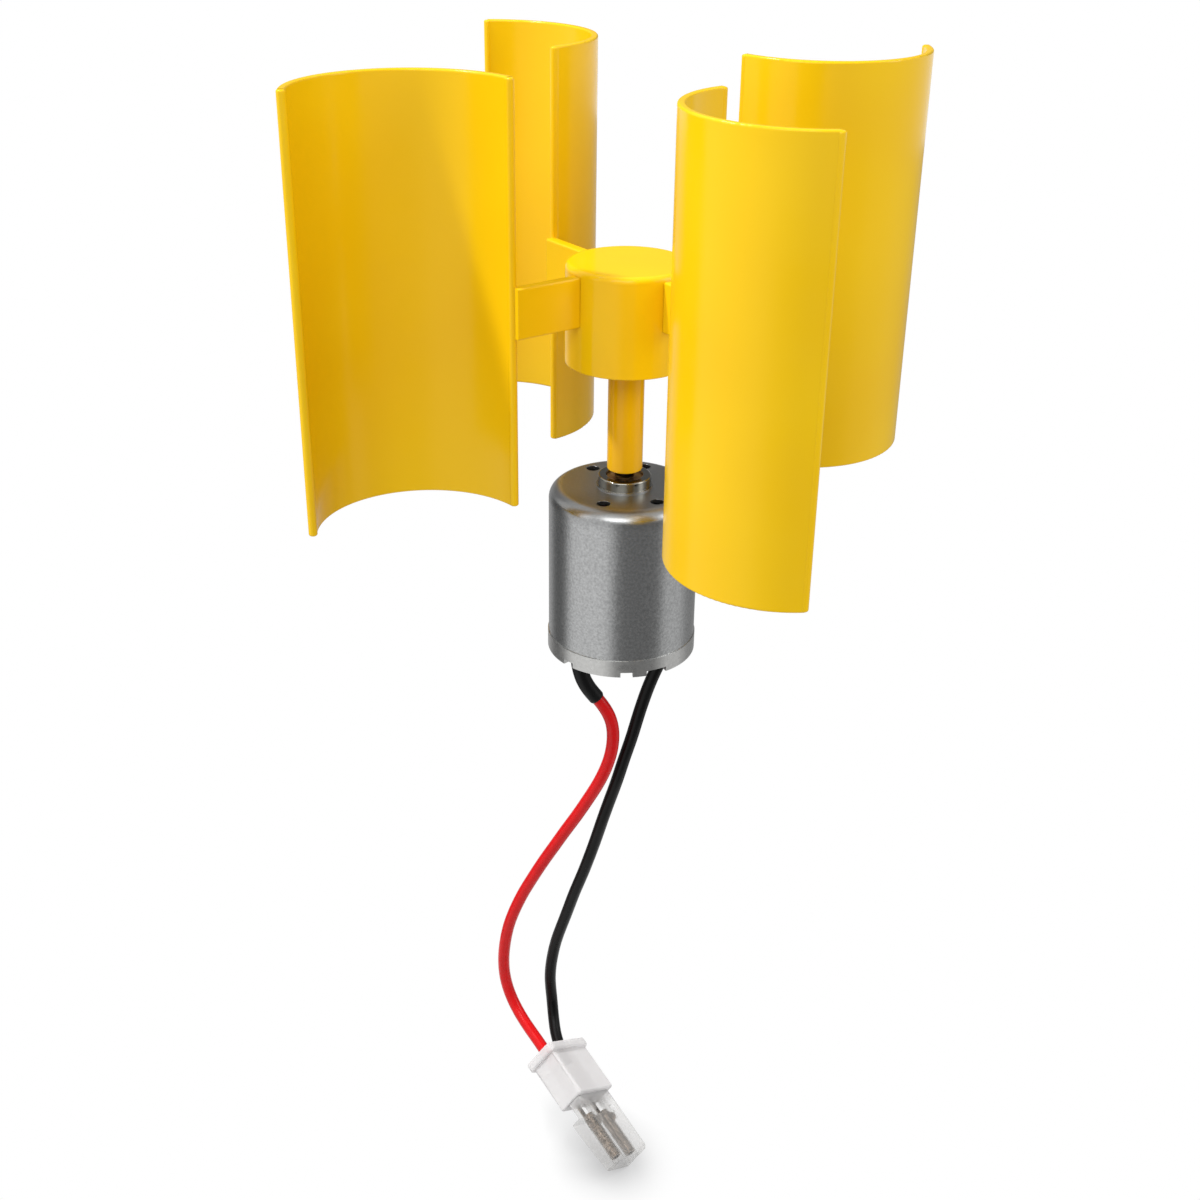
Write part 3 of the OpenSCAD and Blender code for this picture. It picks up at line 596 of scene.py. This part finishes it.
def tube_tree():
    """Sweeps a circle along the path it gets, and narrows it at the far end."""
    tree = bpy.data.node_groups.new("tube along a path", "GeometryNodeTree")
    for name, kind in TUBE_INPUTS.items():
        tree.interface.new_socket(name, in_out="INPUT", socket_type="NodeSocket" + kind)
    tree.interface.new_socket("Mesh", in_out="OUTPUT", socket_type="NodeSocketGeometry")
    given = add(tree, "NodeGroupInput").outputs
    line = add(tree, "GeometryNodeResampleCurve",
               {"Curve": given["Path"], "Count": given["Rings"]})
    share = add(tree, "GeometryNodeSplineParameter").outputs["Factor"]
    width = add(tree, "ShaderNodeMapRange", {
        "Value": share, "From Min": given["Narrows at"], "From Max": 1.0,
        "To Min": given["Radius"], "To Max": given["End radius"],
    }, interpolation_type="SMOOTHSTEP")
    circle = add(tree, "GeometryNodeCurvePrimitiveCircle",
                 {"Resolution": given["Sides"], "Radius": 1.0})
    skin = add(tree, "GeometryNodeCurveToMesh", {
        "Curve": line.outputs["Curve"], "Profile Curve": circle.outputs["Curve"],
        "Scale": width.outputs["Result"], "Fill Caps": True,
    })
    smooth = add(tree, "GeometryNodeSetShadeSmooth", {"Geometry": skin.outputs["Mesh"]})
    real = add(tree, "GeometryNodeRealizeInstances", {"Geometry": smooth.outputs["Geometry"]})
    done = add(tree, "GeometryNodeSetMaterial",
               {"Geometry": real.outputs["Geometry"], "Material": given["Finish"]})
    add(tree, "NodeGroupOutput", {"Mesh": done.outputs["Geometry"]})
    return tree


def grown(name, source, tree, values):
    """Runs a geometry tree on a source object and keeps only its plain mesh as a piece."""
    sockets = {s.name: s.identifier for s in tree.interface.items_tree if s.in_out == "INPUT"}
    modifier = source.modifiers.new("grow", "NODES")
    modifier.node_group = tree
    for key, value in values.items():
        modifier[sockets[key]] = value
    return baked(name, source)


print("the tree has", len(TUBE_INPUTS), "inputs")


# %% The path under the sleeve
def middle_line(piece):
    """The points along the middle of a wire, from its start."""
    bare = piece.data.copy()
    bare.bevel_depth = 0
    line = bpy.data.objects.new("middle line", bare)
    points = [v.co.copy() for v in line.to_mesh().vertices]
    line.to_mesh_clear()
    bpy.data.objects.remove(line)
    bpy.data.curves.remove(bare)
    return points


def stretch(points, first, last):
    """The part of a line of points between two distances along it."""
    part, along = [], 0.0
    for a, b in zip(points, points[1:]):
        step = (b - a).length
        for edge in (first, last):
            if along < edge <= along + step:
                part.append(a.lerp(b, (edge - along) / step))
        along += step
        if first < along < last:
            part.append(b)
    return part


SLEEVE_FROM, SLEEVE_TO = 0.2 * MM, 9.6 * MM
under_sleeve = stretch(middle_line(red_wire), SLEEVE_FROM, SLEEVE_TO)
print("the sleeve's path has", len(under_sleeve), "points")

# %% Grow the sleeve
SLEEVE_D = 2.7 * MM
SHRUNK_BY = 0.12 * MM


def path(name, points):
    """A plain path through the points, as a tree's source."""
    curve = bpy.data.curves.new(name, "CURVE")
    curve.dimensions = "3D"
    line = curve.splines.new("POLY")
    line.points.add(len(points) - 1)
    for point, place in zip(line.points, points):
        point.co = (*place, 1)
    return put(name, curve)


sleeve = grown("sleeve_shrunk", path("sleeve path", under_sleeve), tube_tree(), {
    "Radius": SLEEVE_D / 2, "End radius": SLEEVE_D / 2 - SHRUNK_BY, "Narrows at": 0.97,
    "Rings": 60, "Sides": 32, "Finish": shrink,
})
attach(sleeve, "motor")
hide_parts("red_sleeve")
print("sleeve has", len(sleeve.data.polygons), "faces")

# %% [markdown]
# ## Cords
#
# The wires are supple on the real kit. Their lengths come from the photograph, and the plug
# hangs on them.

print("the wires hang between the motor and the plug")

# %% [markdown]
# ## Floor and world
#
# The photograph was taken on white, and shows only the soft shadow close under the plug. A
# floor lit by lamps would turn grey somewhere, so it glows by itself instead, with a painted
# shadow that makes it darker where something is close above it. What the camera, a reflection
# or the plug sees of the floor and the world is white; what they scatter onto the object is
# less, so the lamps still model it.


# %% How strongly the white shines
def white_strength(tree, scattered):
    """1 for rays from the camera, a reflection or through the plug, else scattered."""
    ray = add(tree, "ShaderNodeLightPath").outputs
    some = add(tree, "ShaderNodeMath", {
        0: ray["Is Camera Ray"], 1: ray["Is Glossy Ray"],
    }, operation="MAXIMUM")
    direct = add(tree, "ShaderNodeMath", {
        0: some.outputs[0], 1: ray["Is Transmission Ray"],
    }, operation="MAXIMUM")
    strength = add(tree, "ShaderNodeMapRange", {
        "Value": direct.outputs[0], "To Min": scattered, "To Max": 1.0,
    })
    return strength.outputs["Result"]


def shining(name, tree_parts):
    """A material that glows by itself. tree_parts gives its colour and strength."""
    material = bpy.data.materials.new(name)
    tree = fresh_tree(material)
    colour, strength = tree_parts(tree)
    glow = add(tree, "ShaderNodeEmission", {"Color": colour, "Strength": strength})
    add(tree, "ShaderNodeOutputMaterial", {"Surface": glow.outputs["Emission"]})
    return material


print("glowing surfaces can be made")

# %% Floor
FLOOR_Z = cad_low.z - 0.3 * MM
FLOOR_HALF = 3.0
SHADOW_REACH = 9.5 * MM
OPEN_FROM = 0.96


def floor_painted_shadow_parts(tree):
    """White, with a painted shadow: grey where something is close above."""
    # Painted shadow: the floor's glow turns grey where something is close above it.
    near = add(tree, "ShaderNodeAmbientOcclusion", {"Distance": SHADOW_REACH}, samples=24)
    tone = two_tones(tree, near.outputs["AO"], linear("#949495"), WHITE, 0.0, OPEN_FROM)
    return tone, white_strength(tree, scattered=0.65)


floor_mesh = bpy.data.meshes.new("floor")
corners = [(-1, -1), (1, -1), (1, 1), (-1, 1)]
floor_mesh.from_pydata([(x * FLOOR_HALF, y * FLOOR_HALF, FLOOR_Z) for x, y in corners], [],
                       [(0, 1, 2, 3)])
floor_mesh.materials.append(shining("white floor, painted shadow", floor_painted_shadow_parts))
floor = put("floor", floor_mesh)
print("floor at", FLOOR_Z)

# %% World
world = bpy.data.worlds.new("studio")
bpy.context.scene.world = world
tree = fresh_tree(world)
sky = add(tree, "ShaderNodeBackground", {
    "Color": WHITE, "Strength": white_strength(tree, scattered=0.55),
})
add(tree, "ShaderNodeOutputWorld", {"Surface": sky.outputs["Background"]})
bpy.context.scene.view_settings.view_transform = "Standard"
print("the world is white")

# %% [markdown]
# ## Lamps
#
# One fairly small lamp from the upper left draws the slanting shadow edge inside the near
# blade: its place was worked out from that edge, and its size from how soft the edge is. Wide
# panels fill the rest, because a wide lamp has no shadow edge of its own.


# %% Lamps
def around(azimuth, radius, z):
    """A point at an azimuth in degrees, from +X towards +Y."""
    a = math.radians(azimuth)
    return radius * math.cos(a), radius * math.sin(a), z


def panel(name, azimuth, elevation, distance, width, height, watts):
    """A rectangular lamp that faces the origin."""
    e = math.radians(elevation)
    way = Vector(around(azimuth, math.cos(e), math.sin(e)))
    lamp = bpy.data.lights.new(name, "AREA")
    lamp.shape = "RECTANGLE"
    lamp.size, lamp.size_y = width, height
    lamp.energy = watts
    holder = put(name, lamp)
    holder.rotation_euler = way.to_track_quat("Z", "Y").to_euler()
    holder.location = way * distance


panel("key", 176, 60, 1.1, width=0.085, height=0.085, watts=11.4)
panel("left panel", 196, 22, 0.8, width=0.3, height=0.5, watts=0.5)
panel("right panel", -20, 25, 0.8, width=0.25, height=0.5, watts=1.7)
panel("front fill", -110, 40, 0.9, width=0.5, height=0.4, watts=2.6)
print("lamps are on")

# %% [markdown]
# ## Grey cards
#
# Bright steel shows its surroundings, and in white ones it would be white. So, as on a
# photographer's table, cards stand round it: a low ring gives the can its light and dark
# stripes, and one far behind darkens what the tops reflect. Only reflections see them. Each
# point of a card carries its own tone, so one material serves them all.


# %% Paper of the cards
def card_parts(tree):
    """White, as strong as the point's own tone."""
    return WHITE, add(tree, "ShaderNodeAttribute", attribute_name="tone").outputs["Fac"]


card_paper = shining("grey card", card_parts)


def card(name, azimuths, profile, tone_at, closed=False):
    """A sheet swept over azimuths from a profile of radii and heights, glowing by azimuth."""
    places = [around(azimuth, radius, z) for azimuth in azimuths for radius, z in profile]
    tones = [tone_at(azimuth) for azimuth in azimuths for _ in profile]
    rows, columns = len(profile), len(azimuths)
    faces = []
    for i in range(columns if closed else columns - 1):
        here, after = i * rows, (i + 1) % columns * rows
        faces += [(here + k, here + k + 1, after + k + 1, after + k) for k in range(rows - 1)]
    mesh = bpy.data.meshes.new(name)
    mesh.from_pydata(places, [], faces)
    mesh.attributes.new("tone", "FLOAT", "POINT").data.foreach_set("value", tones)
    mesh.materials.append(card_paper)
    piece = put(name, mesh)
    for kind in ("camera", "diffuse", "transmission", "shadow", "volume_scatter"):
        setattr(piece, "visible_" + kind, False)
    print(name, "has", len(faces), "faces")


# %% Ring of cards
CARD_Z = FLOOR_Z + 0.1 * MM
RING_R = 150 * MM
RING_PROFILE = [(70 * MM, CARD_Z), (RING_R, CARD_Z), (RING_R, 30 * MM)]
RING_STEP = 5
RING_TONES = [
    (0, 0.75), (20, 0.35), (50, 0.3), (70, 0.5), (120, 0.5), (140, 0.15), (165, 0.15),
    (180, 1.0), (240, 1.0), (256, 0.22), (318, 0.22), (330, 0.75), (360, 0.75),
]


def ring_tone(azimuth):
    """The ring's brightness at an azimuth, straight between the listed ones."""
    (a, x), (b, y) = next(pair for pair in zip(RING_TONES, RING_TONES[1:])
                          if azimuth <= pair[1][0])
    return x + (y - x) * (azimuth - a) / (b - a)


card("ring of cards", range(0, 360, RING_STEP), RING_PROFILE, ring_tone, closed=True)

# %% Card behind
BACK_FROM, BACK_TO, BACK_STEP = 30, 135, 5
BACK_R = 0.6
BACK_PROFILE = [(BACK_R, 0.05), (BACK_R, 0.5)]
BACK_TONE = 0.18

card("back card", range(BACK_FROM, BACK_TO + 1, BACK_STEP), BACK_PROFILE, lambda _: BACK_TONE)
